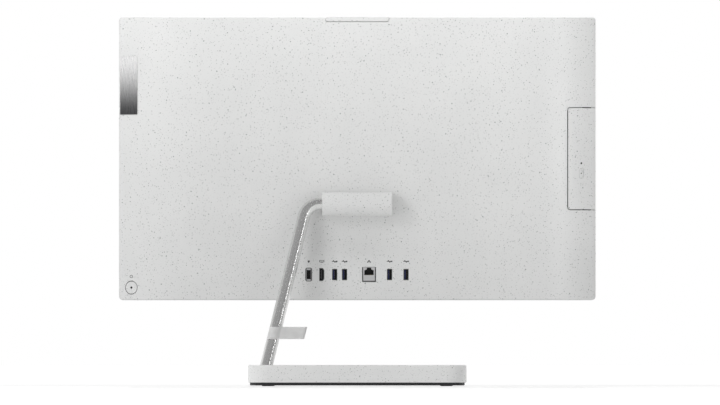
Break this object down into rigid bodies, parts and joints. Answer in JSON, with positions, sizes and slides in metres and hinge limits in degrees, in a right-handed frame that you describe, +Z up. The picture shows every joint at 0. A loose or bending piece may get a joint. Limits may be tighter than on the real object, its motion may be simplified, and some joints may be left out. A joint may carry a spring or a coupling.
{
  "type": "all-in-one computer",
  "caption": "Flat all-in-one computer seen from behind: white speckled housing with ports and a disc tray, tilting on a bent metal tube in a slab base.",
  "frame": {"origin": "on the table, under the middle of the base", "axes": "+Z up, the screen faces -Y and the rear cover with its connectors faces +Y"},
  "size_m": [0.614, 0.192, 0.4748],
  "materials": {
    "shell_plastic": "matte, white with fine grey flecks",
    "stand_metal": "satin",
    "clip_plastic": "satin, slightly clear",
    "black_plastic": "matte",
    "foot_rubber": "matte",
    "plate_steel": "satin",
    "bright_steel": "bright",
    "cast_aluminium": "satin",
    "pipe_copper": "satin",
    "circuit_board": "satin",
    "screen_glass": "polished",
    "light_window": "gloss",
    "name_plate_metal": "brushed"
  },
  "bodies": {
    "stand": {"base_shell": "shell_plastic", "base_underplate": "black_plastic", "base_weight": "plate_steel", "tube_socket": "plate_steel", "stand_tube": "stand_metal", "cable_clip": "clip_plastic", "rubber_foot_1": "foot_rubber", "rubber_foot_2": "foot_rubber", "rubber_foot_3": "foot_rubber", "rubber_foot_4": "foot_rubber", "base_screw_1": "plate_steel", "base_screw_2": "plate_steel", "base_screw_3": "plate_steel", "hinge_shaft": "bright_steel", "hinge_washer": "plate_steel", "hinge_nut": "bright_steel"},
    "display": {"rear_cover": "shell_plastic", "front_frame": "shell_plastic", "hinge_cover": "shell_plastic", "speaker_left": "black_plastic", "speaker_right": "black_plastic", "fan_housing": "black_plastic", "camera_guide": "black_plastic", "power_inlet": "black_plastic", "lcd_panel": "black_plastic", "chassis_plate": "plate_steel", "hinge_bracket": "plate_steel", "storage_caddy": "plate_steel", "optical_drive_case": "plate_steel", "cpu": "plate_steel", "usb_port_1": "bright_steel", "usb_port_2": "bright_steel", "usb_port_3": "bright_steel", "usb_port_4": "bright_steel", "hdmi_port": "bright_steel", "ethernet_port": "bright_steel", "cmos_battery": "bright_steel", "cpu_heatsink": "cast_aluminium", "heatsink_fins": "cast_aluminium", "storage_drive": "cast_aluminium", "heat_pipe": "pipe_copper", "main_board": "circuit_board", "ram_module_1": "circuit_board", "ram_module_2": "circuit_board", "m2_ssd": "circuit_board", "wifi_card": "circuit_board", "power_switch_board": "circuit_board", "screen_glass": "screen_glass", "name_plate": "name_plate_metal"},
    "fan_rotor": {"fan_impeller": "black_plastic"},
    "power_button": {"power_button": "shell_plastic", "power_led": "light_window"},
    "camera_bar": {"camera_bar": "shell_plastic", "camera_lens": "screen_glass"},
    "disc_tray": {"disc_tray": "black_plastic", "disc_hub": "black_plastic", "tray_bezel": "shell_plastic", "tray_led": "light_window"},
    "eject_button": {"eject_button": "shell_plastic"}
  },
  "joints": [
    {"name": "tilt", "type": "hinge", "parent": "stand", "child": "display", "pos_m": [0, 0.006, 0.234], "axis": [-1, 0, 0], "range_deg": [-5, 15]},
    {"name": "fan_spin", "type": "hinge", "parent": "display", "child": "fan_rotor", "pos_m": [0.16, -0.0235, 0.3806], "axis": [0, 1, 0], "continuous": true},
    {"name": "power_press", "type": "slide", "parent": "display", "child": "power_button", "axis": [-0.4155, -0.9096, 0], "range_m": [0, 0.0008], "stiffness_N_per_m": 1200, "springref_m": -0.0006},
    {"name": "camera_rise", "type": "slide", "parent": "display", "child": "camera_bar", "axis": [0, 0, 1], "range_m": [0, 0.016]},
    {"name": "tray_slide", "type": "slide", "parent": "display", "child": "disc_tray", "axis": [-1, 0, 0], "range_m": [0, 0.128]},
    {"name": "eject_press", "type": "slide", "parent": "disc_tray", "child": "eject_button", "axis": [0.4046, -0.9145, 0], "range_m": [0, 0.0008], "stiffness_N_per_m": 1000, "springref_m": -0.0006}
  ]
}
